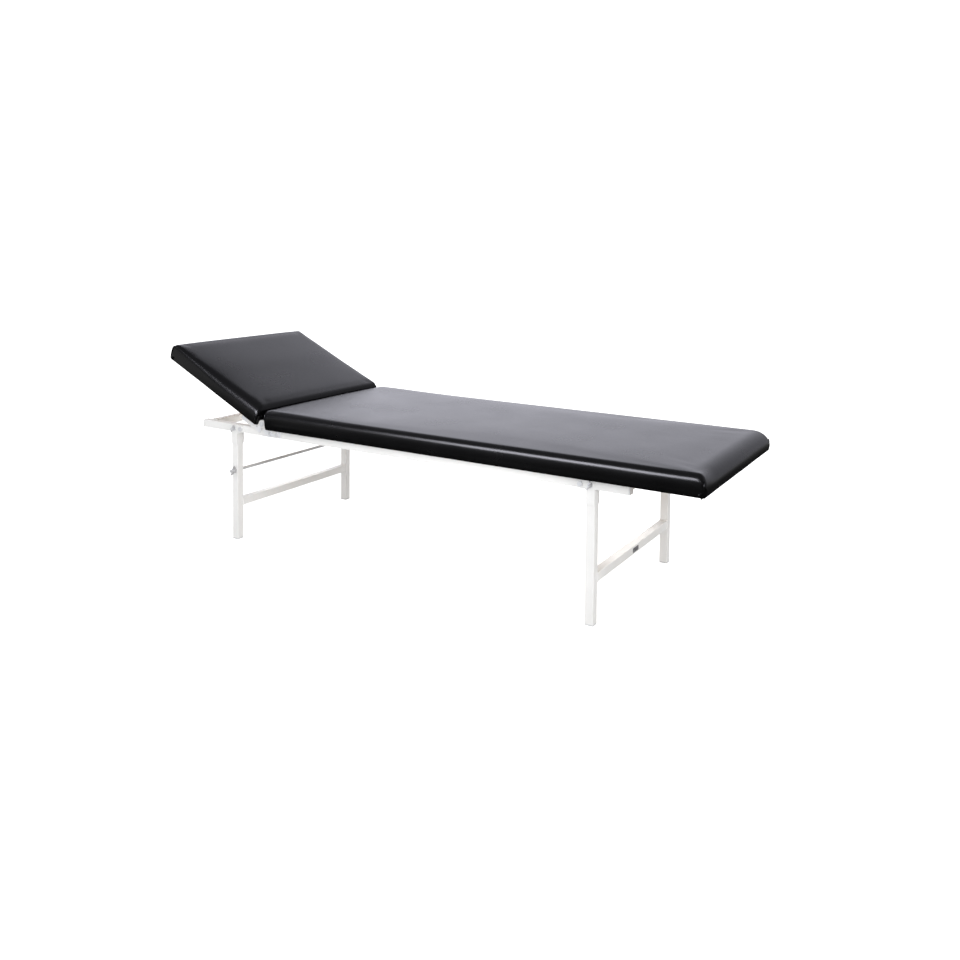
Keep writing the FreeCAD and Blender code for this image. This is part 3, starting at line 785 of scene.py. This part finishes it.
def welds(name, body, tubes, closed):
    """The beads at both ends of some cross tubes."""
    piece = joined(name, [weld(tube, side, closed) for tube in tubes for side in (-1, 1)])
    dress(piece, body, "white_paint")


def label_plate():
    """A blank plate with two pins on the foot crossbar, facing the foot end."""
    low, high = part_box("foot_leg_crossbar")
    face = Vector((high.x, 0, (low.z + high.z) / 2))
    thick, wide, tall = label_size
    outline = []
    for k, (sy, sz) in enumerate(((1, 1), (-1, 1), (-1, -1), (1, -1))):
        for turn in np.linspace(90 * k, 90 * k + 90, label_corner_steps):
            angle = math.radians(turn)
            y = sy * (wide / 2 - label_corner) + label_corner * math.cos(angle)
            outline.append((y, sz * (tall / 2 - label_corner) + label_corner * math.sin(angle)))
    count = len(outline)
    layers = ((0.0, 1.0), (thick * (1 - label_bevel), 1.0), (thick, 1 - thick * label_bevel / tall))
    points = [face + Vector((out, y * scale, z * scale)) for out, scale in layers for y, z in outline]
    faces = [list(range(count)), list(range(2 * count, 3 * count))]
    for k in range(2):
        for i in range(count):
            j = (i + 1) % count
            faces.append([k * count + i, k * count + j, (k + 1) * count + j, (k + 1) * count + i])
    shapes = [(points, faces)]
    for side in (-1, 1):
        pin = face + Vector((thick * 0.5, side * (wide / 2 - 2 * label_corner), 0))
        path = [pin + Vector((label_pin_radius * height, 0, 0)) for height in label_pin_heights]
        widths = [math.sqrt(1 + label_pin_tip - height ** 2) for height in label_pin_heights]
        radii = [label_pin_radius * width for width in widths]
        shapes.append(sweep(path, radii, Vector((0, 1, 0)), 1.0, False, label_pin_sides))
    piece = joined("label_plate", shapes)
    piece.data.set_sharp_from_angle(angle=sharp_angle)
    dress(piece, "foot_legs", "grey_plastic", label_print())


for pad in pads:
    corner_folds(pad)
    staples(pad)
welds("head_leg_welds", "head_legs", ["head_leg_crossbar"], True)
welds("foot_leg_welds", "foot_legs", ["foot_leg_crossbar"], True)
welds("rail_welds", "frame", ["head_cross_tube", "middle_cross_tube", "foot_cross_tube"], False)
label_plate()


# Stage
def floor():
    """A large pale floor that the camera sees as white and the couch mirrors as a dim one."""
    corners = [(-floor_half, -floor_half, 0), (floor_half, -floor_half, 0)]
    corners += [(floor_half, floor_half, 0), (-floor_half, floor_half, 0)]
    piece = new_piece("floor", corners, [(0, 1, 2, 3)])
    material, tree, shader = new_material("floor_finish")
    rays = add(tree, "ShaderNodeLightPath", {}).outputs
    parts = add(tree, "ShaderNodeSeparateXYZ", {"Vector": place_of(tree)}).outputs
    left = spread(tree, parts["X"], *mirrored_floor, *mirrored_reach)
    back = spread(tree, parts["Y"], *mirrored_back, *back_reach)
    dim = add(tree, "ShaderNodeMath", {0: left, 1: back}, operation="MAXIMUM").outputs["Value"]
    mirrored = colours_between(tree, rays["Is Glossy Ray"], floor_colour, dim)
    tree.links.new(mirrored, shader.inputs["Base Color"])
    glow = spread(tree, rays["Is Camera Ray"], 0.0, floor_glow, 0.0, 1.0)
    tree.links.new(glow, shader.inputs["Emission Strength"])
    shader.inputs["Emission Color"].default_value = (1, 1, 1, 1)
    shader.inputs["Roughness"].default_value = 0.9
    shader.inputs["Specular IOR Level"].default_value = 0.0
    piece.data.materials.append(material)


def studio():
    """Mirrored, a wall that dims to the right, a dim ceiling and a dark front; otherwise plain white."""
    world = bpy.data.worlds.new("studio")
    bpy.context.scene.world = world
    world.use_nodes = True
    tree = world.node_tree
    tree.nodes.clear()
    direction = add(tree, "ShaderNodeTexCoord", {}).outputs["Generated"]
    parts = add(tree, "ShaderNodeSeparateXYZ", {"Vector": direction}).outputs
    low, high = (math.sin(math.radians(angle)) for angle in wall_top)
    wall = spread(tree, parts["X"], *wall_glow, *wall_reach)
    behind = spread(tree, parts["Y"], 0.0, 1.0, *front_reach)
    above = spread(tree, parts["Z"], 0.0, 1.0, low, high)
    rays = add(tree, "ShaderNodeLightPath", {}).outputs
    glow = values_between(tree, behind, front_glow, wall)
    glow = values_between(tree, above, glow, ceiling_glow)
    glow = values_between(tree, rays["Is Diffuse Ray"], glow, soft_glow)
    glow = values_between(tree, rays["Is Camera Ray"], glow, white_glow)
    tint = colours_between(tree, rays["Is Diffuse Ray"], mirrored_tint, (1, 1, 1))
    sky = add(tree, "ShaderNodeBackground", {"Color": tint, "Strength": glow})
    add(tree, "ShaderNodeOutputWorld", {"Surface": sky.outputs["Background"]})


def soft_box(name, place, target, size, power, mirrored):
    """A rectangular light that looks at a place, and is either mirrored in the couch or shines on it."""
    lamp = bpy.data.lights.new(name, "AREA")
    lamp.shape = "RECTANGLE"
    lamp.size, lamp.size_y = size
    lamp.energy = power
    if mirrored:
        lamp.color = key_colour
    piece = bpy.data.objects.new(name, lamp)
    piece.location = place
    piece.rotation_euler = (target - place).to_track_quat("-Z", "Y").to_euler()
    piece.visible_camera = False
    piece.visible_glossy = mirrored
    piece.visible_diffuse = not mirrored
    bpy.context.scene.collection.objects.link(piece)


def tube_light(tube, way, power):
    """A long narrow light close to a cross tube, above it or on its foot side as way points."""
    low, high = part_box(tube)
    middle = (low + high) / 2
    length, width = tube_light_size
    size = (width, length) if way.z else (length, width)
    soft_box(f"{tube}_light", middle + way * tube_light_gap, middle, size, power, False)


def camera():
    """The camera, turned by its yaw, pitch and roll."""
    forward = Vector((math.sin(camera_yaw), math.cos(camera_yaw), 0)) * math.cos(camera_pitch)
    forward.z = math.sin(camera_pitch)
    level = Vector((math.cos(camera_yaw), -math.sin(camera_yaw), 0))
    up = level.cross(forward)
    right = level * math.cos(camera_roll) + up * math.sin(camera_roll)
    top = up * math.cos(camera_roll) - level * math.sin(camera_roll)
    lens = bpy.data.cameras.new("camera")
    lens.sensor_width = sensor_width
    lens.lens = camera_focal * sensor_width / photo_size
    lens.shift_y = camera_shift
    piece = bpy.data.objects.new("camera", lens)
    turn = Matrix((right, top, -forward)).transposed().to_4x4()
    piece.matrix_world = Matrix.Translation(camera_place) @ turn
    bpy.context.scene.collection.objects.link(piece)
    bpy.context.scene.camera = piece


floor()
studio()
soft_box("key_light", key_place, couch_middle, key_size, key_power, True)
soft_box("front_light", front_place, couch_middle, front_size, front_power, False)
soft_box("fill_light", fill_place, couch_middle, fill_size, fill_power, False)
soft_box("leg_light", leg_light_place, leg_light_target, leg_light_size, leg_light_power, False)
tube_light("head_leg_crossbar", Vector((0, 0, 1)), head_bar_power)
tube_light("foot_leg_crossbar", Vector((0, 0, 1)), foot_bar_power)
tube_light("head_cross_tube", Vector((1, 0, 0)), head_tube_power)
camera()
bpy.context.scene.view_settings.view_transform = "Standard"
